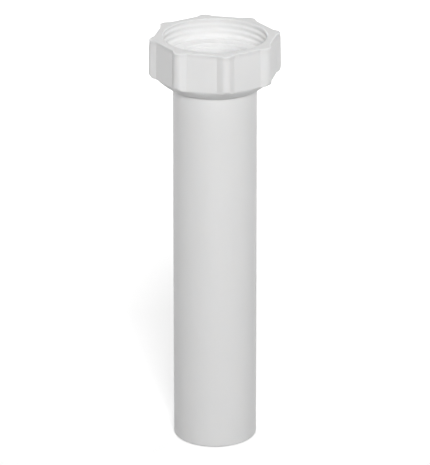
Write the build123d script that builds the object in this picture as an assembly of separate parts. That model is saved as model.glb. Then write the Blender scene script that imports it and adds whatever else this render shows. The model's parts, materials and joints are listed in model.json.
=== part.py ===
from build123d import *
import os
from math import cos, hypot, pi, radians, tan

# Flanged extension pipe for a wash basin waste, standing on its plain end.
# The origin is the middle of the plain end and +Z runs up the pipe's axis. Sizes are millimetres.

# Pipe: a straight tube with a flange moulded on its upper end
PIPE_OUTSIDE_DIAMETER = 31.75
PIPE_WALL = 1.875
PIPE_LENGTH = 152.4
PLAIN_END_CHAMFER = 0.6
BORE_EDGE_CHAMFER = 0.4
FLANGE_WIDTH = 3.0
FLANGE_THICKNESS = 2.4
FLANGE_EDGE_CHAMFER = 0.4
FLANGE_ROOT_FILLET = 0.8

# Sealing washer: a flat ring as wide as the flange, lying on it inside the nut
WASHER_THICKNESS = 1.6
WASHER_BORE_SETBACK = 0.15
WASHER_EDGE_CHAMFER = 0.2

# Coupling nut: its shoulder hangs under the flange, its pocket holds flange and washer,
# and its mouth above them is bored to the crests of the thread. Its foot tapers in towards the pipe
NUT_RUNNING_CLEARANCE = 0.9
NUT_SEAT_GAP = 0.1
NUT_SHOULDER = 2.9
NUT_SHOULDER_CHAMFER = 0.5
POCKET_CLEARANCE = 0.3
THREAD_STEP = 0.3
THREAD_REACH = 8.0
MOUTH_CHAMFER = 0.5
NUT_WALL = 3.075
NUT_DRAFT = 1.0
NUT_EDGE_CHAMFER = 0.4
TAPER_HEIGHT = 4.1
TAPER_STAND = 0.4
TAPER_FOOT_RIM = 0.6

# Grip ribs: one stands on each corner of the nut
RIB_COUNT = 8
RIB_STAND = 0.85
RIB_CREST_WIDTH = 2.1
RIB_FLANK_ANGLE = 45.0
RIB_CREST_ROUND = 2.3
RIB_FOOT_SLOPE_DEPTH = 0.95
RIB_FOOT_SLOPE_LENGTH = 1.25
RIB_HEAD_SLOPE = 0.6

# Radii and heights that follow from the sizes above
PIPE_RADIUS = PIPE_OUTSIDE_DIAMETER / 2
BORE_RADIUS = PIPE_RADIUS - PIPE_WALL
FLANGE_RADIUS = PIPE_RADIUS + FLANGE_WIDTH
FLANGE_UNDERSIDE = PIPE_LENGTH - FLANGE_THICKNESS
WASHER_TOP = PIPE_LENGTH + WASHER_THICKNESS

SHOULDER_HOLE_RADIUS = PIPE_RADIUS + NUT_RUNNING_CLEARANCE
POCKET_RADIUS = FLANGE_RADIUS + POCKET_CLEARANCE
THREAD_RADIUS = POCKET_RADIUS + THREAD_STEP
FLAT_RADIUS = THREAD_RADIUS + NUT_WALL
CORNER_RADIUS = FLAT_RADIUS / cos(pi / RIB_COUNT)
RIB_TIP_RADIUS = CORNER_RADIUS + RIB_STAND
TAPER_TOP_RADIUS = FLAT_RADIUS + TAPER_STAND
TAPER_FOOT_RADIUS = SHOULDER_HOLE_RADIUS + NUT_SHOULDER_CHAMFER + TAPER_FOOT_RIM
NUT_SEAT = FLANGE_UNDERSIDE - NUT_SEAT_GAP
NUT_FOOT = NUT_SEAT - NUT_SHOULDER - TAPER_HEIGHT
NUT_HEAD = WASHER_TOP + THREAD_REACH
NUT_HEIGHT = NUT_HEAD - NUT_FOOT


def corner(section, radius, height):
    """The corner of a section that lies nearest to a radius and a height."""
    return section.vertices().sort_by_distance(Vector(radius, height, 0))[0]


def turned(section):
    """Solid turned about the Z axis from a section drawn as radius across and height up."""
    return revolve(Plane.XZ * section, Axis.Z)


def flanged_pipe():
    """Tube and flange in one piece, with eased ends and a fillet under the flange."""
    section = make_face(
        Polyline(
            (BORE_RADIUS, 0),
            (PIPE_RADIUS, 0),
            (PIPE_RADIUS, FLANGE_UNDERSIDE),
            (FLANGE_RADIUS, FLANGE_UNDERSIDE),
            (FLANGE_RADIUS, PIPE_LENGTH),
            (BORE_RADIUS, PIPE_LENGTH),
            close=True,
        )
    )
    section = chamfer(corner(section, PIPE_RADIUS, 0), PLAIN_END_CHAMFER)
    for height in (0, PIPE_LENGTH):
        section = chamfer(corner(section, BORE_RADIUS, height), BORE_EDGE_CHAMFER)
    for height in (FLANGE_UNDERSIDE, PIPE_LENGTH):
        section = chamfer(corner(section, FLANGE_RADIUS, height), FLANGE_EDGE_CHAMFER)
    section = fillet(corner(section, PIPE_RADIUS, FLANGE_UNDERSIDE), FLANGE_ROOT_FILLET)
    return turned(section)


def sealing_washer():
    """Flat ring with eased edges, lying on the flange's face."""
    inner_radius = BORE_RADIUS + WASHER_BORE_SETBACK
    section = make_face(
        Polyline(
            (inner_radius, PIPE_LENGTH),
            (FLANGE_RADIUS, PIPE_LENGTH),
            (FLANGE_RADIUS, WASHER_TOP),
            (inner_radius, WASHER_TOP),
            close=True,
        )
    )
    return turned(chamfer(section.vertices(), WASHER_EDGE_CHAMFER))


def nut_plan(height):
    """Plan of the drafted nut at a height above its foot: flats with a round-topped rib between each two."""
    draw_in = (height - TAPER_HEIGHT) * tan(radians(NUT_DRAFT))
    flat_slope = tan(pi / RIB_COUNT)
    flank_slope = tan(radians(RIB_FLANK_ANGLE))
    tip_radius = RIB_TIP_RADIUS - draw_in
    half_crest = RIB_CREST_WIDTH / 2
    half_root = (half_crest + RIB_STAND * flank_slope) / (1 - flat_slope * flank_slope)
    root_radius = CORNER_RADIUS - draw_in - half_root * flat_slope
    rib = (
        Vector(root_radius, -half_root),
        Vector(tip_radius, -half_crest),
        Vector(tip_radius, half_crest),
        Vector(root_radius, half_root),
    )
    turns = [index * 360 / RIB_COUNT for index in range(RIB_COUNT)]
    plan = make_face(Polyline(*(point.rotate(Axis.Z, turn) for turn in turns for point in rib), close=True))
    crests = [edge for edge in plan.vertices() if hypot(edge.X, edge.Y) > CORNER_RADIUS - draw_in]
    return Pos(0, 0, height) * fillet(crests, RIB_CREST_ROUND)


def nut_envelope():
    """Turned blank that tapers the nut's foot and slopes both ends of the ribs back towards the flats."""
    section = make_face(
        Polyline(
            (0, 0),
            (TAPER_FOOT_RADIUS, 0),
            (TAPER_TOP_RADIUS, TAPER_HEIGHT),
            (RIB_TIP_RADIUS - RIB_FOOT_SLOPE_DEPTH, TAPER_HEIGHT),
            (RIB_TIP_RADIUS, TAPER_HEIGHT + RIB_FOOT_SLOPE_LENGTH),
            (RIB_TIP_RADIUS, NUT_HEIGHT - RIB_HEAD_SLOPE),
            (RIB_TIP_RADIUS - RIB_HEAD_SLOPE, NUT_HEIGHT),
            (0, NUT_HEIGHT),
            close=True,
        )
    )
    return turned(section)


def nut_hollow():
    """Space inside the nut: the hole round the pipe, the pocket, the thread's bore and its mouth."""
    seat = TAPER_HEIGHT + NUT_SHOULDER
    washer_top = NUT_HEIGHT - THREAD_REACH
    section = make_face(
        Polyline(
            (0, 0),
            (SHOULDER_HOLE_RADIUS + NUT_SHOULDER_CHAMFER, 0),
            (SHOULDER_HOLE_RADIUS, NUT_SHOULDER_CHAMFER),
            (SHOULDER_HOLE_RADIUS, seat - FLANGE_ROOT_FILLET),
            (SHOULDER_HOLE_RADIUS + FLANGE_ROOT_FILLET, seat),
            (POCKET_RADIUS, seat),
            (POCKET_RADIUS, washer_top),
            (THREAD_RADIUS, washer_top),
            (THREAD_RADIUS, NUT_HEIGHT - MOUTH_CHAMFER),
            (THREAD_RADIUS + MOUTH_CHAMFER, NUT_HEIGHT),
            (0, NUT_HEIGHT),
            close=True,
        )
    )
    return turned(section)


def coupling_nut():
    """Ribbed nut, drafted towards its head, with its head rim eased, its foot tapered and its inside cut out."""
    blank = loft([nut_plan(0), nut_plan(NUT_HEIGHT)], ruled=True)
    blank = chamfer(blank.edges().filter_by_position(Axis.Z, NUT_HEIGHT, NUT_HEIGHT), NUT_EDGE_CHAMFER)
    return Pos(0, 0, NUT_FOOT) * ((blank & nut_envelope()) - nut_hollow())


os.makedirs("parts", exist_ok=True)
export_step(flanged_pipe(), "parts/flanged_pipe.step")
export_step(sealing_washer(), "parts/sealing_washer.step")
export_step(coupling_nut(), "parts/coupling_nut.step")
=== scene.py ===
import json
from math import atan2, ceil, cos, hypot, pi, radians, sin, tan, tau

import bpy
from bpy.props import FloatProperty, FloatVectorProperty, IntProperty, PointerProperty
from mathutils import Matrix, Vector


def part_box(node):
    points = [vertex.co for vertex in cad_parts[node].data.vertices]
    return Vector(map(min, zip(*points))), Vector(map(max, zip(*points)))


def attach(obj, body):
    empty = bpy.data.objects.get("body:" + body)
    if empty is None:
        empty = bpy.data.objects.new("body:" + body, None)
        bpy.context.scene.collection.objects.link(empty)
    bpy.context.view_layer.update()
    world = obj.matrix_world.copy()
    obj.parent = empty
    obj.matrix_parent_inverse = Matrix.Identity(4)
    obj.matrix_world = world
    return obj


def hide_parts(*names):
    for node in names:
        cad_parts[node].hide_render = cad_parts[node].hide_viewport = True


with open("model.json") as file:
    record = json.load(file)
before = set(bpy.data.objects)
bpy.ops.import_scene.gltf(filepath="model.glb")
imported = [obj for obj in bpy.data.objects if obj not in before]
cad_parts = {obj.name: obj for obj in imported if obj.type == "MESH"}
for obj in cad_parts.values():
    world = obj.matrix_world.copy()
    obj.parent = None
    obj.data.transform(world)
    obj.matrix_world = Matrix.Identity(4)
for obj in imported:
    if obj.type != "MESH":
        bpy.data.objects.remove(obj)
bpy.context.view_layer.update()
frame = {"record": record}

bl_info = {
    "name": "Flanged Extension Pipe",
    "version": (1, 0, 0),
    "blender": (4, 5, 0),
    "location": "View3D > Sidebar > Extension Pipe",
    "description": "Makes a basin waste's extension pipe, sealing washer and coupling nut, on a pale stage",
    "category": "Add Mesh",
}

MM = 0.001

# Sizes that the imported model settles
MOUNTS = {mount["name"]: mount["dims"] for mount in frame["record"]["mounts"]}
PIPE_RADIUS = MOUNTS["plain_end"]["r_mm"] * MM
BORE_RADIUS = MOUNTS["waterway"]["r_mm"] * MM
THREAD_CREST_RADIUS = MOUNTS["nut_thread"]["r_mm"] * MM
PIPE_LOW, PIPE_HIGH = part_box("flanged_pipe")
WASHER_LOW, WASHER_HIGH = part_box("sealing_washer")
NUT_LOW, NUT_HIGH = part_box("coupling_nut")
NUT_HEIGHT = NUT_HIGH.z - NUT_LOW.z
THREAD_REACH = NUT_HIGH.z - WASHER_HIGH.z

# Fineness of the meshes
TURNED_COLUMNS = 160
CORNER_STEPS = 6
FLAT_STEPS = 4
RIB_STEPS = 2
PIPE_SPACING = 12 * MM
WASHER_SPACING = 1.5 * MM
TAPER_ROWS = 24
RIB_FOOT_ROWS = 12
RIB_MIDDLE_ROWS = 8
RIB_HEAD_ROWS = 8
THREAD_ROW_HEIGHT = 0.075 * MM
FACE_SHARES = (0.05, 0.35, 0.65, 0.95)
EDGE_MARGIN = 0.12 * MM
SHARP_ANGLE = radians(40)

# How the taper's rows close up towards its top, and the last row's share of its height
TAPER_ROW_POWER = 1.5
TAPER_LAST_ROW = 0.995

# How far the close rows at the ribs' foot and head reach, as multiples of the slopes there
FOOT_ROWS_REACH = 1.6
HEAD_ROWS_REACH = 1.8

# Width over which the nut's outline eases into the radius that limits it
LIMIT_EASING = 0.25 * MM

# Turns over which the thread's groove fades in and out, and the turns between its end and the washer
THREAD_FADE_IN = 0.05
THREAD_FADE_OUT = 0.2
THREAD_END_GAP = 0.42

# How round the groove's flanks are, from 0 for straight ones to 1
FLANK_ROUNDNESS = 0.6

# Range that most values of a noise lie in
NOISE_LOW = 0.3
NOISE_HIGH = 0.7

# Floor: half of its side in metres, and how far it lies below the pipe
FLOOR_REACH = 8.0
FLOOR_DROP = 0.05 * MM

# Width of the camera's sensor in millimetres
SENSOR_WIDTH = 36.0

# Soft lights: name, power setting, side and distance in metres, then degrees round from the camera and up
SOFTBOXES = (
    ("key_light", "key_power", 0.325, 1.3, 5, 25),
    ("top_light", "top_power", 0.6, 0.8, 0, 88),
    ("right_light", "right_power", 0.4, 0.9, 110, 20),
    ("left_light", "left_power", 0.4, 0.9, -110, 20),
    ("back_right_light", "back_power", 0.4, 0.9, 155, 12),
    ("back_left_light", "back_power", 0.4, 0.9, -155, 12),
)


def length(name, description, millimetres):
    """Length property, written in millimetres and held in metres."""
    return FloatProperty(
        name=name, description=description, default=millimetres * MM, min=0, unit="LENGTH", precision=5
    )


def angle(name, description, degrees):
    """Angle property, written in degrees."""
    return FloatProperty(name=name, description=description, default=radians(degrees), subtype="ANGLE")


def colour(name, description, red, green, blue):
    """Colour property in linear light."""
    return FloatVectorProperty(
        name=name, description=description, default=(red, green, blue), min=0, max=1, size=3, subtype="COLOR"
    )


def share(name, description, value):
    """Share between nothing and all."""
    return FloatProperty(name=name, description=description, default=value, min=0, max=1, subtype="FACTOR")


def strength(name, description, value):
    """Plain strength with no upper limit."""
    return FloatProperty(name=name, description=description, default=value, min=0)


def power(name, description, watts):
    """Power of a lamp."""
    return FloatProperty(name=name, description=description, default=watts, min=0, unit="POWER")


class PipeSettings(bpy.types.PropertyGroup):
    """Sizes and finish of the flanged pipe."""

    flange_thickness: length("Flange thickness", "Height of the flange's rim", 2.4)
    flange_edge_round: length("Flange edge round", "Rounding of the flange's two outer edges", 0.5)
    flange_root_fillet: length("Flange root fillet", "Fillet between tube and flange", 0.8)
    plain_end_round: length("Plain end round", "Rounding of the plain end's outer edge", 0.6)
    bore_edge_round: length("Bore edge round", "Rounding where the bore meets the plain end", 0.4)
    flange_bore_round: length("Flange bore round", "Rounding where the bore meets the flange's face", 0.15)
    colour: colour("Colour", "White of the extruded plastic", 0.845, 0.845, 0.843)
    # The bore's lighter white is painted light: it stands in for the light that reaches the inside of the
    # tube.
    painted_light_bore_colour: colour("Bore colour", "White of the bore, lighter than the outside", 0.97, 0.97, 0.968)
    roughness: share("Roughness", "Mean roughness of the satin surface", 0.40)
    die_line_depth: length("Die line depth", "Depth of the faint lines that the extruder leaves", 0.004)


class WasherSettings(bpy.types.PropertyGroup):
    """Sizes and finish of the sealing washer."""

    bore_setback: length("Bore setback", "How far the washer's hole stands back from the pipe's bore", 0.15)
    edge_round: length("Edge round", "Rounding of the washer's edges", 0.2)
    colour: colour("Colour", "White of the polythene", 0.975, 0.975, 0.973)
    roughness: share("Roughness", "Mean roughness of the waxy surface", 0.52)


class NutSettings(bpy.types.PropertyGroup):
    """Sizes and finish of the coupling nut."""

    across_flats: length("Across flats", "Distance between opposite flats at the foot", 45.1)
    draft: angle("Draft", "Lean of the walls towards the head", 1.0)
    rib_count: IntProperty(name="Ribs", description="Number of flats and of ribs", default=8, min=3)
    rib_stand: length("Rib stand", "How far a rib stands out from the corner of the flats", 0.85)
    rib_crest_width: length("Rib crest", "Width of a rib's flat crest", 2.1)
    rib_flank_angle: angle("Rib flank", "Slope of a rib's flanks from straight out", 45.0)
    rib_crest_round: length("Crest round", "Rounding of a rib's crest", 2.3)
    rib_root_round: length("Root round", "Rounding where a rib meets the flats", 0.15)
    foot_slope_depth: length("Foot slope depth", "How far the ribs slope back at the foot", 0.95)
    foot_slope_length: length("Foot slope length", "Height of the ribs' slope at the foot", 1.25)
    head_slope: length("Head slope", "Height and depth of the ribs' slope at the head", 0.6)
    rim_round: length("Rim round", "Rounding of the outer edge at the head", 0.4)
    taper_height: length("Taper height", "Height of the foot's taper under the flats", 4.1)
    taper_stand: length("Taper stand", "How far the taper's top reaches past the middle of the flats", 0.4)
    taper_foot_rim: length("Foot rim", "Width of the flat rim round the hole at the foot", 0.6)
    taper_bulge: length("Taper bulge", "How far the taper swells out at half its height", 0.3)
    taper_easing: length("Taper easing", "Width over which the flats and the taper ease into each other", 0.8)
    mouth_round: length("Mouth round", "Rounding where the thread meets the head", 0.5)
    running_clearance: length("Running clearance", "Gap between the pipe and the nut's hole", 0.9)
    shoulder_height: length("Shoulder height", "Height of the shoulder between taper and flange", 2.9)
    shoulder_chamfer: length("Shoulder chamfer", "Chamfer of the hole at the foot", 0.5)
    seat_chamfer: length("Seat chamfer", "Chamfer of the hole at the seat", 0.8)
    pocket_clearance: length("Pocket clearance", "Gap around the flange and the washer", 0.3)
    thread_pitch: length("Thread pitch", "Rise of the thread in one turn, 11 turns to the inch", 2.309)
    thread_depth: length("Thread depth", "Depth of the groove below the crests", 0.32)
    thread_crest_land: length("Crest land", "Width of the flat between two grooves", 0.34)
    thread_root_land: length("Root land", "Width of the groove's floor", 0.34)
    thread_lead_in: length("Lead in", "Depth of the groove's middle below the head where it starts", 0.95)
    thread_start: angle("Thread start", "Direction in which the groove starts", 171.0)
    colour: colour("Colour", "White of the moulded plastic", 0.845, 0.845, 0.843)
    roughness: share("Roughness", "Mean roughness of the satin surface", 0.42)
    grain_depth: length("Grain depth", "Depth of the mould's fine grain", 0.006)


class StageSettings(bpy.types.PropertyGroup):
    """Camera, light and floor."""

    azimuth: angle("Azimuth", "Camera's direction round the pipe", -9.9)
    elevation: angle("Elevation", "Camera's height above the horizon", 21.77)
    distance: length("Distance", "Camera's distance from what it looks at", 1628.2)
    aim_height: length("Aim height", "Height on the pipe's axis that the camera looks at", 82.56)
    lens: FloatProperty(name="Lens", description="Focal length", default=331.06, min=1, unit="CAMERA")
    floor_colour: colour("Floor colour", "Pale floor that takes the shadow", 0.75, 0.75, 0.75)
    floor_bounce: colour("Floor bounce", "Floor as the pipe sees it", 0.40, 0.40, 0.40)
    near_glow: strength("Near glow", "Light added for the camera to the floor round the pipe", 0.45)
    far_glow: strength("Far glow", "Light added for the camera to the floor far from the pipe", 1.0)
    glow_start: length("Glow start", "Distance from the pipe at which the added light begins to rise", 120)
    glow_end: length("Glow end", "Distance from the pipe at which the added light is full", 450)
    key_power: power("Key", "Power of the light in front, a little to the right of the camera", 13.05)
    top_power: power("Top", "Power of the light overhead", 1.4)
    right_power: power("Right", "Power of the light on the right", 1.76)
    left_power: power("Left", "Power of the light on the left", 1.82)
    back_power: power("Back", "Power of each of the two lights behind", 1.75)


class ExtensionPipeSettings(bpy.types.PropertyGroup):
    """All settings of the extension pipe."""

    pipe: PointerProperty(type=PipeSettings, name="Pipe", description="Sizes and finish of the pipe")
    washer: PointerProperty(type=WasherSettings, name="Washer", description="Sizes and finish of the washer")
    nut: PointerProperty(type=NutSettings, name="Nut", description="Sizes and finish of the nut")
    stage: PointerProperty(type=StageSettings, name="Stage", description="Camera, light and floor")


def ramp(value):
    """Smooth step from 0 to 1."""
    value = min(max(value, 0.0), 1.0)
    return value * value * (3 - 2 * value)


def easing(first, second, width):
    """How far an eased edge stands inside a sharp one, where two lengths are within a width of each other."""
    near = max(width - abs(first - second), 0) / width
    return near * near * width / 4


def eased_least(first, second, width):
    """The lesser of two lengths, eased where they are within a width of each other."""
    return min(first, second) - easing(first, second, width)


def along(start, end, count):
    """Points inside a straight run: one close to each end, the others even between them."""
    run = (end - start).length
    margin = min(EDGE_MARGIN, run / 5) / run
    return [start.lerp(end, margin + (1 - 2 * margin) * step / count) for step in range(count + 1)]


def quarter_turn():
    """Angles that step through a quarter of a turn."""
    return [pi / 2 * step / CORNER_STEPS for step in range(CORNER_STEPS + 1)]


def rounded_corner(before, corner, after, radius):
    """Points of the arc that rounds a corner between two straight runs."""
    back, on = (before - corner).normalized(), (after - corner).normalized()
    half = back.angle(on) / 2
    centre = corner + (back + on).normalized() * radius / sin(half)
    first = corner + back * radius / tan(half) - centre
    last = corner + on * radius / tan(half) - centre
    begin = atan2(first.y, first.x)
    sweep = (atan2(last.y, last.x) - begin + pi) % tau - pi
    turns = [begin + sweep * step / CORNER_STEPS for step in range(CORNER_STEPS + 1)]
    return [centre + radius * Vector((cos(turn), sin(turn))) for turn in turns]


def rounded_section(corners, spacing):
    """Closed section through (radius, height, rounding) corners, with points along its straight runs."""
    places = [Vector(corner[:2]) for corner in corners]
    arcs = [
        rounded_corner(places[index - 1], place, places[(index + 1) % len(places)], corners[index][2])
        for index, place in enumerate(places)
    ]
    section = []
    for index, arc in enumerate(arcs):
        following = arcs[(index + 1) % len(arcs)][0]
        section += arc + along(arc[-1], following, ceil((following - arc[-1]).length / spacing))
    return section


def joined_rings(name, rings):
    """Closed mesh whose faces join each ring of points to the next, and the last to the first."""
    columns = len(rings[0])
    faces = []
    for row in range(len(rings)):
        here, there = row * columns, (row + 1) % len(rings) * columns
        for column in range(columns):
            after = (column + 1) % columns
            faces.append((here + column, here + after, there + after, there + column))
    mesh = bpy.data.meshes.new(name)
    mesh.from_pydata([point for ring in rings for point in ring], [], faces)
    mesh.polygons.foreach_set("use_smooth", [True] * len(faces))
    mesh.set_sharp_from_angle(angle=SHARP_ANGLE)
    mesh.update()
    return mesh


def turned_mesh(name, section):
    """Mesh turned about the pipe's axis from a closed section of (radius, height) points."""
    turns = [tau * column / TURNED_COLUMNS for column in range(TURNED_COLUMNS)]
    return joined_rings(name, [[(r * cos(turn), r * sin(turn), z) for turn in turns] for r, z in section])


def add_piece(mesh, material, body, node):
    """Object for a mesh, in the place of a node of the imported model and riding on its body."""
    mesh.materials.append(material)
    piece = bpy.data.objects.new(mesh.name, mesh)
    bpy.context.scene.collection.objects.link(piece)
    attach(piece, body)
    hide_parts(node)


class Plastic:
    """A plastic's node tree, with the helpers that its textures share."""

    def __init__(self, name):
        self.material = bpy.data.materials.new(name)
        self.material.use_nodes = True
        self.nodes = self.material.node_tree.nodes
        self.links = self.material.node_tree.links
        self.shader = self.nodes["Principled BSDF"]
        self.place = self.nodes.new("ShaderNodeTexCoord").outputs["Object"]
        self.relief = None

    def noise(self, scale, detail):
        """Noise over the object's own place, with a scale for each axis in cells to the metre."""
        mapping = self.nodes.new("ShaderNodeMapping")
        mapping.inputs["Scale"].default_value = scale
        texture = self.nodes.new("ShaderNodeTexNoise")
        texture.inputs["Scale"].default_value = 1.0
        texture.inputs["Detail"].default_value = detail
        self.links.new(self.place, mapping.inputs["Vector"])
        self.links.new(mapping.outputs["Vector"], texture.inputs["Vector"])
        return texture.outputs["Fac"]

    def tint(self, value, white, darkest, lightest):
        """Base colour that drifts between two close shades of a white."""
        mix = self.nodes.new("ShaderNodeMix")
        mix.data_type = "RGBA"
        mix.inputs["A"].default_value = (*(part * darkest for part in white), 1)
        mix.inputs["B"].default_value = (*(part * lightest for part in white), 1)
        self.links.new(value, mix.inputs["Factor"])
        self.links.new(mix.outputs["Result"], self.shader.inputs["Base Color"])

    def painted_bore_light(self, radius, colour):
        """Other colour inside a radius from the pipe's axis, used to paint a lighter bore that stands in for
        the light reaching inside the tube.
        """
        kinds = ("VectorMath", "VectorMath", "Math", "Mix")
        flat, span, within, mix = (self.nodes.new("ShaderNode" + kind) for kind in kinds)
        flat.operation, span.operation, within.operation = "MULTIPLY", "LENGTH", "LESS_THAN"
        flat.inputs[1].default_value = (1, 1, 0)
        within.inputs[1].default_value = radius
        mix.data_type = "RGBA"
        mix.inputs["B"].default_value = (*colour, 1)
        base = self.shader.inputs["Base Color"]
        self.links.new(self.place, flat.inputs[0])
        self.links.new(flat.outputs["Vector"], span.inputs[0])
        self.links.new(span.outputs["Value"], within.inputs[0])
        self.links.new(within.outputs["Value"], mix.inputs["Factor"])
        self.links.new(base.links[0].from_socket, mix.inputs["A"])
        self.links.new(mix.outputs["Result"], base)

    def gloss(self, value, mean, spread):
        """Roughness that drifts about its mean."""
        span = self.nodes.new("ShaderNodeMapRange")
        span.inputs["From Min"].default_value = NOISE_LOW
        span.inputs["From Max"].default_value = NOISE_HIGH
        span.inputs["To Min"].default_value = mean - spread
        span.inputs["To Max"].default_value = mean + spread
        self.links.new(value, span.inputs["Value"])
        self.links.new(span.outputs["Result"], self.shader.inputs["Roughness"])

    def bump(self, value, depth):
        """Relief of a depth, laid over the relief that is there already."""
        bump = self.nodes.new("ShaderNodeBump")
        bump.inputs["Strength"].default_value = 1.0
        bump.inputs["Distance"].default_value = depth
        self.links.new(value, bump.inputs["Height"])
        if self.relief:
            self.links.new(self.relief, bump.inputs["Normal"])
        self.relief = bump.outputs["Normal"]
        self.links.new(self.relief, self.shader.inputs["Normal"])

    def body(self, ior, specular, depth_share, depth):
        """Constant values of the shader: reflection and the light that goes a little way into the plastic."""
        self.shader.inputs["IOR"].default_value = ior
        self.shader.inputs["Specular IOR Level"].default_value = specular
        self.shader.inputs["Subsurface Weight"].default_value = depth_share
        self.shader.inputs["Subsurface Radius"].default_value = (1.0, 0.95, 0.9)
        self.shader.inputs["Subsurface Scale"].default_value = depth


def extruded_plastic(settings):
    """Satin white of the drawn tube: faint lines along it, a fine grain, a slow drift, and a bore painted
    lighter as painted light that stands in for the light reaching inside the tube.
    """
    plastic = Plastic("extruded_pvc")
    lines = plastic.noise((900, 900, 5), detail=3.0)
    drift = plastic.noise((45, 45, 14), detail=3.0)
    plastic.tint(drift, settings.colour, darkest=0.975, lightest=1.015)
    # Painted light: the bore gets a lighter white than the outside, standing in for the light that reaches
    # inside the tube.
    plastic.painted_bore_light((BORE_RADIUS + PIPE_RADIUS) / 2, settings.painted_light_bore_colour)
    plastic.gloss(lines, settings.roughness, spread=0.05)
    plastic.bump(lines, settings.die_line_depth)
    plastic.bump(plastic.noise((3200, 3200, 3200), detail=1.0), depth=0.0015 * MM)
    plastic.body(ior=1.53, specular=0.25, depth_share=0.25, depth=1.2 * MM)
    return plastic.material


def moulded_plastic(settings):
    """Satin white of the moulded nut: the mould's fine grain and a slow drift of white."""
    plastic = Plastic("moulded_pvc")
    grain = plastic.noise((1500, 1500, 1500), detail=2.0)
    drift = plastic.noise((90, 90, 60), detail=3.0)
    plastic.tint(drift, settings.colour, darkest=0.975, lightest=1.015)
    plastic.gloss(grain, settings.roughness, spread=0.05)
    plastic.bump(grain, settings.grain_depth)
    plastic.body(ior=1.53, specular=0.25, depth_share=0.35, depth=1.0 * MM)
    return plastic.material


def waxy_polythene(settings):
    """Soft white of the punched washer, with the faint waves of rolled sheet."""
    plastic = Plastic("waxy_polythene")
    waves = plastic.noise((260, 700, 260), detail=2.0)
    drift = plastic.noise((150, 150, 150), detail=2.0)
    plastic.tint(drift, settings.colour, darkest=0.97, lightest=1.01)
    plastic.gloss(waves, settings.roughness, spread=0.06)
    plastic.bump(waves, depth=0.004 * MM)
    plastic.body(ior=1.51, specular=0.25, depth_share=0.1, depth=0.5 * MM)
    return plastic.material


def nut_plan(nut, height, inset):
    """Nut's outline at a height above its foot: flats with a round-topped rib on each corner."""
    half_side = pi / nut.rib_count
    flank = nut.rib_flank_angle
    draw_in = (height - nut.taper_height) * tan(nut.draft)
    flat = nut.across_flats / 2 - draw_in - inset
    tip = nut.across_flats / 2 / cos(half_side) + nut.rib_stand - draw_in - inset
    crest = nut.rib_crest_width / 2 - inset * (1 - sin(flank)) / cos(flank)
    reach = sin(flank) * tip + cos(flank) * crest
    spread = cos(flank + half_side)
    root_out = flat * cos(flank) - reach * sin(half_side)
    root_across = reach * cos(half_side) - flat * sin(flank)
    root = Vector((root_out, root_across)) / spread
    middle = Vector((flat * cos(half_side), flat * sin(half_side)))
    down = Vector((1, -1))
    corners = [middle * down, root * down, Vector((tip, -crest)), Vector((tip, crest)), root, middle]
    valley, ridge = nut.rib_root_round + inset, nut.rib_crest_round - inset
    rounds = (valley, ridge, ridge, valley)
    arcs = [rounded_corner(*corners[index:index + 3], radius) for index, radius in enumerate(rounds)]
    side = [corners[0], *along(corners[0], arcs[0][0], FLAT_STEPS)]
    for arc, following in zip(arcs, arcs[1:]):
        side += arc + along(arc[-1], following[0], RIB_STEPS)
    side += arcs[-1] + along(arcs[-1][-1], corners[-1], FLAT_STEPS)
    turns = [2 * half_side * index for index in range(nut.rib_count)]
    return [
        (point.x * cos(turn) - point.y * sin(turn), point.x * sin(turn) + point.y * cos(turn))
        for turn in turns
        for point in side
    ]


def taper_limit(nut, height):
    """Radius of the foot's taper at a height above the foot."""
    foot = PIPE_RADIUS + nut.running_clearance + nut.shoulder_chamfer + nut.taper_foot_rim
    top = nut.across_flats / 2 + nut.taper_stand
    rise = height / nut.taper_height
    return foot + (top - foot) * rise + 4 * nut.taper_bulge * rise * (1 - rise)


def taper_edge(nut, height):
    """How far the round edge between the flats and the taper stands inside a sharp one, at a height."""
    flat = nut.across_flats / 2 - (height - nut.taper_height) * tan(nut.draft)
    return easing(flat, taper_limit(nut, height), nut.taper_easing)


def rib_limit(nut, height):
    """Largest radius of the ribs at a height above the nut's foot, with both their ends sloped back."""
    tip = nut.across_flats / 2 / cos(pi / nut.rib_count) + nut.rib_stand
    foot = nut.foot_slope_depth * max(1 - (height - nut.taper_height) / nut.foot_slope_length, 0)
    head = max(height - (NUT_HEIGHT - nut.head_slope), 0)
    return tip - foot - head


def outer_ring(nut, height, inset, limit):
    """Ring of points round the outside of the nut, kept inside a limiting radius."""
    ring = []
    edge = taper_edge(nut, height)
    for x, y in nut_plan(nut, height, inset):
        radius = hypot(x, y)
        scale = (eased_least(radius, limit - inset / 2, LIMIT_EASING) - edge) / radius
        ring.append((x * scale, y * scale, NUT_LOW.z + height))
    return ring


def outer_rings(nut):
    """Rings from the foot's edge up the taper and the ribs to the head's edge."""
    rim, ledge = nut.rim_round, nut.taper_height
    low = ledge + FOOT_ROWS_REACH * nut.foot_slope_length
    high = NUT_HEIGHT - HEAD_ROWS_REACH * nut.head_slope
    taper = [ledge * (1 - (1 - step / TAPER_ROWS) ** TAPER_ROW_POWER) for step in range(TAPER_ROWS)]
    taper.append(TAPER_LAST_ROW * ledge)
    levels = [(height, 0, taper_limit(nut, height)) for height in taper]
    ribs = [ledge + (low - ledge) * step / RIB_FOOT_ROWS for step in range(RIB_FOOT_ROWS + 1)]
    ribs += [low + (high - low) * step / RIB_MIDDLE_ROWS for step in range(1, RIB_MIDDLE_ROWS)]
    ribs += [high + (NUT_HEIGHT - rim - high) * step / RIB_HEAD_ROWS for step in range(RIB_HEAD_ROWS)]
    levels += [(height, 0, rib_limit(nut, height)) for height in ribs]
    for turn in quarter_turn():
        height = NUT_HEIGHT - rim * (1 - sin(turn))
        levels.append((height, rim * (1 - cos(turn)), rib_limit(nut, height)))
    return [outer_ring(nut, *level) for level in levels]


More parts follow.
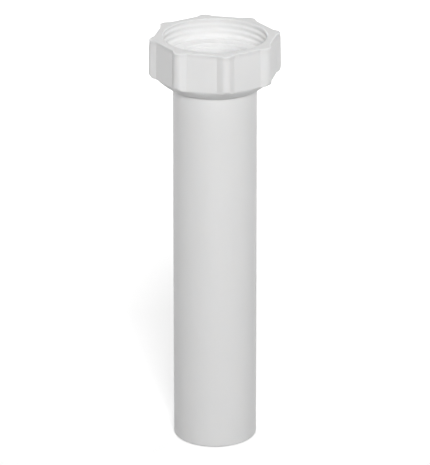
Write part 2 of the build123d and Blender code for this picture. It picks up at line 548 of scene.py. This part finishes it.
def thread_cut(nut, turn, depth):
    """How far the thread's groove is cut outwards in a direction, at a depth below the head."""
    share_of_turn = (nut.thread_start - turn) / tau % 1.0
    travel = share_of_turn + round((depth - nut.thread_lead_in) / nut.thread_pitch - share_of_turn)
    off_middle = abs(depth - nut.thread_lead_in - travel * nut.thread_pitch)
    half_mouth = (nut.thread_pitch - nut.thread_crest_land) / 2
    half_floor = nut.thread_root_land / 2
    flank = min(max((half_mouth - off_middle) / (half_mouth - half_floor), 0), 1)
    last = (THREAD_REACH - nut.thread_lead_in) / nut.thread_pitch - THREAD_END_GAP
    fade = ramp(travel / THREAD_FADE_IN) * ramp((last - travel) / THREAD_FADE_OUT)
    return nut.thread_depth * fade * ((1 - FLANK_ROUNDNESS) * flank + FLANK_ROUNDNESS * ramp(flank))


def inner_rings(nut, turns):
    """Rings from the mouth down the thread, round the pocket and the seat, and out through the foot."""
    mouth = nut.mouth_round
    levels = [(mouth * (1 - cos(turn)), mouth * (1 - sin(turn))) for turn in quarter_turn()]
    rows = ceil((THREAD_REACH - mouth) / THREAD_ROW_HEIGHT)
    levels += [(mouth + (THREAD_REACH - mouth) * row / rows, 0) for row in range(1, rows + 1)]
    rings = []
    for depth, flare in levels:
        radii = [THREAD_CREST_RADIUS + max(flare, thread_cut(nut, turn, depth)) for turn in turns]
        rings.append([(r * cos(turn), r * sin(turn), NUT_HIGH.z - depth) for r, turn in zip(radii, turns)])
    pocket = WASHER_HIGH.x + nut.pocket_clearance
    hole = PIPE_RADIUS + nut.running_clearance
    seat = nut.taper_height + nut.shoulder_height
    steps = [
        (pocket, NUT_HEIGHT - THREAD_REACH),
        (pocket, seat),
        (hole + nut.seat_chamfer, seat),
        (hole, seat - nut.seat_chamfer),
        (hole, nut.shoulder_chamfer),
        (hole + nut.shoulder_chamfer, 0),
    ]
    for radius, height in steps:
        rings.append([(radius * cos(turn), radius * sin(turn), NUT_LOW.z + height) for turn in turns])
    return rings


def face_rings(start, end):
    """Rings across a flat face, between its two edges."""
    return [[Vector(a).lerp(Vector(b), part) for a, b in zip(start, end)] for part in FACE_SHARES]


class EXTENSION_PIPE_OT_pipe(bpy.types.Operator):
    """Make the straight tube with the flange on its head"""

    bl_idname = "extension_pipe.pipe"
    bl_label = "Flanged Pipe"

    def execute(self, context):
        pipe = context.scene.extension_pipe.pipe
        underside = PIPE_HIGH.z - pipe.flange_thickness
        section = rounded_section(
            [
                (PIPE_RADIUS, PIPE_LOW.z, pipe.plain_end_round),
                (PIPE_RADIUS, underside, pipe.flange_root_fillet),
                (PIPE_HIGH.x, underside, pipe.flange_edge_round),
                (PIPE_HIGH.x, PIPE_HIGH.z, pipe.flange_edge_round),
                (BORE_RADIUS, PIPE_HIGH.z, pipe.flange_bore_round),
                (BORE_RADIUS, PIPE_LOW.z, pipe.bore_edge_round),
            ],
            PIPE_SPACING,
        )
        mesh = turned_mesh("dressed_pipe", section)
        add_piece(mesh, extruded_plastic(pipe), "pipe", "flanged_pipe")
        return {"FINISHED"}


class EXTENSION_PIPE_OT_washer(bpy.types.Operator):
    """Make the flat washer that lies on the flange inside the nut"""

    bl_idname = "extension_pipe.washer"
    bl_label = "Sealing Washer"

    def execute(self, context):
        washer = context.scene.extension_pipe.washer
        hole = BORE_RADIUS + washer.bore_setback
        section = rounded_section(
            [
                (WASHER_HIGH.x, WASHER_LOW.z, washer.edge_round),
                (WASHER_HIGH.x, WASHER_HIGH.z, washer.edge_round),
                (hole, WASHER_HIGH.z, washer.edge_round),
                (hole, WASHER_LOW.z, washer.edge_round),
            ],
            WASHER_SPACING,
        )
        mesh = turned_mesh("dressed_washer", section)
        add_piece(mesh, waxy_polythene(washer), "pipe", "sealing_washer")
        return {"FINISHED"}


class EXTENSION_PIPE_OT_nut(bpy.types.Operator):
    """Make the ribbed nut with the thread in its mouth"""

    bl_idname = "extension_pipe.nut"
    bl_label = "Coupling Nut"

    def execute(self, context):
        nut = context.scene.extension_pipe.nut
        turns = [atan2(y, x) for x, y in nut_plan(nut, NUT_HEIGHT, 0)]
        outside = outer_rings(nut)
        inside = inner_rings(nut, turns)
        rings = [
            *outside,
            *face_rings(outside[-1], inside[0]),
            *inside,
            *face_rings(inside[-1], outside[0]),
        ]
        add_piece(joined_rings("dressed_nut", rings), moulded_plastic(nut), "nut", "coupling_nut")
        return {"FINISHED"}


def looking_from(azimuth, elevation):
    """Direction from the pipe towards a place given by its azimuth and its elevation."""
    return Vector((sin(azimuth) * cos(elevation), -cos(azimuth) * cos(elevation), sin(elevation)))


def aimed(thing, target, direction, distance):
    """Puts an object at a distance from a target and turns it to look there."""
    bpy.context.scene.collection.objects.link(thing)
    thing.location = target + direction * distance
    thing.rotation_euler = (-direction).to_track_quat("-Z", "Y").to_euler()
    return thing


def softbox(name, watts, side, direction, distance):
    """Square soft light that looks at the nut's foot."""
    lamp = bpy.data.lights.new(name, "AREA")
    lamp.energy = watts
    lamp.size = side
    foot = Vector((0, 0, NUT_LOW.z))
    return aimed(bpy.data.objects.new(name, lamp), foot, direction, distance)


def seen_rays(nodes, links):
    """1 for the rays that show a surface as it is: camera, mirror and clear ones."""
    path = nodes.new("ShaderNodeLightPath")
    seen = path.outputs["Is Camera Ray"]
    for name in ("Is Glossy Ray", "Is Transmission Ray"):
        most = nodes.new("ShaderNodeMath")
        most.operation = "MAXIMUM"
        links.new(seen, most.inputs[0])
        links.new(path.outputs[name], most.inputs[1])
        seen = most.outputs[0]
    return seen


def pale_floor(stage):
    """Floor that shows white with a soft shadow, and lights the object as a grey one."""
    material = bpy.data.materials.new("pale_floor")
    material.use_nodes = True
    nodes, links = material.node_tree.nodes, material.node_tree.links
    nodes.remove(nodes["Principled BSDF"])
    shown, bounced = nodes.new("ShaderNodeBsdfDiffuse"), nodes.new("ShaderNodeBsdfDiffuse")
    shown.inputs["Color"].default_value = (*stage.floor_colour, 1)
    bounced.inputs["Color"].default_value = (*stage.floor_bounce, 1)
    glow, lit, mix = (nodes.new("ShaderNode" + kind) for kind in ("Emission", "AddShader", "MixShader"))
    place, span, rise = (nodes.new("ShaderNode" + kind) for kind in ("TexCoord", "VectorMath", "MapRange"))
    span.operation = "LENGTH"
    rise.inputs["From Min"].default_value = stage.glow_start
    rise.inputs["From Max"].default_value = stage.glow_end
    rise.inputs["To Min"].default_value = stage.near_glow
    rise.inputs["To Max"].default_value = stage.far_glow
    links.new(place.outputs["Object"], span.inputs[0])
    links.new(span.outputs["Value"], rise.inputs["Value"])
    links.new(rise.outputs["Result"], glow.inputs["Strength"])
    links.new(shown.outputs["BSDF"], lit.inputs[0])
    links.new(glow.outputs["Emission"], lit.inputs[1])
    links.new(seen_rays(nodes, links), mix.inputs["Fac"])
    links.new(bounced.outputs["BSDF"], mix.inputs[1])
    links.new(lit.outputs["Shader"], mix.inputs[2])
    links.new(mix.outputs["Shader"], nodes["Material Output"].inputs["Surface"])
    return material


def white_world():
    """World that shows white to the camera and in reflections, and gives no other light."""
    world = bpy.data.worlds.new("white_studio")
    world.use_nodes = True
    nodes, links = world.node_tree.nodes, world.node_tree.links
    background = nodes["Background"]
    background.inputs["Color"].default_value = (1, 1, 1, 1)
    links.new(seen_rays(nodes, links), background.inputs["Strength"])
    return world


class EXTENSION_PIPE_OT_stage(bpy.types.Operator):
    """Make the pale floor, the soft lights and the camera"""

    bl_idname = "extension_pipe.stage"
    bl_label = "Stage"

    def execute(self, context):
        scene = context.scene
        stage = scene.extension_pipe.stage
        sides = ((-1, -1), (1, -1), (1, 1), (-1, 1))
        corners = [(x * FLOOR_REACH, y * FLOOR_REACH, -FLOOR_DROP) for x, y in sides]
        mesh = bpy.data.meshes.new("floor")
        mesh.from_pydata(corners, [], [(0, 1, 2, 3)])
        mesh.materials.append(pale_floor(stage))
        floor = bpy.data.objects.new("floor", mesh)
        scene.collection.objects.link(floor)

        for name, setting, side, distance, azimuth, elevation in SOFTBOXES:
            direction = looking_from(stage.azimuth + radians(azimuth), radians(elevation))
            lamp = softbox(name, getattr(stage, setting), side, direction, distance)
            # The key gives no highlight, which would clip the nut's head to white from behind
            lamp.visible_glossy = name != "key_light"

        camera = bpy.data.cameras.new("camera")
        camera.sensor_width = SENSOR_WIDTH
        camera.lens = stage.lens
        aim = Vector((0, 0, stage.aim_height))
        direction = looking_from(stage.azimuth, stage.elevation)
        scene.camera = aimed(bpy.data.objects.new("camera", camera), aim, direction, stage.distance)
        scene.world = white_world()
        scene.view_settings.view_transform = "Standard"
        return {"FINISHED"}


class EXTENSION_PIPE_PT_sidebar(bpy.types.Panel):
    """Lists the pieces of the extension pipe and their settings"""

    bl_idname = "EXTENSION_PIPE_PT_sidebar"
    bl_label = "Extension Pipe"
    bl_space_type = "VIEW_3D"
    bl_region_type = "UI"
    bl_category = "Extension Pipe"

    def draw(self, context):
        settings = context.scene.extension_pipe
        groups = (settings.pipe, settings.washer, settings.nut, settings.stage)
        for operator, group in zip(OPERATORS, groups):
            box = self.layout.box()
            box.operator(operator.bl_idname)
            for name in group.__annotations__:
                box.prop(group, name)


OPERATORS = (EXTENSION_PIPE_OT_pipe, EXTENSION_PIPE_OT_washer, EXTENSION_PIPE_OT_nut, EXTENSION_PIPE_OT_stage)
CLASSES = (
    PipeSettings,
    WasherSettings,
    NutSettings,
    StageSettings,
    ExtensionPipeSettings,
    *OPERATORS,
    EXTENSION_PIPE_PT_sidebar,
)


def register():
    """Registers the classes and hangs the settings on the scene."""
    for kind in CLASSES:
        bpy.utils.register_class(kind)
    bpy.types.Scene.extension_pipe = PointerProperty(type=ExtensionPipeSettings)


def unregister():
    """Takes the settings and the classes away again."""
    del bpy.types.Scene.extension_pipe
    for kind in reversed(CLASSES):
        bpy.utils.unregister_class(kind)


def main():
    """Makes the pieces and the stage."""
    register()
    bpy.ops.extension_pipe.pipe()
    bpy.ops.extension_pipe.washer()
    bpy.ops.extension_pipe.nut()
    bpy.ops.extension_pipe.stage()


if __name__ == "__main__":
    main()
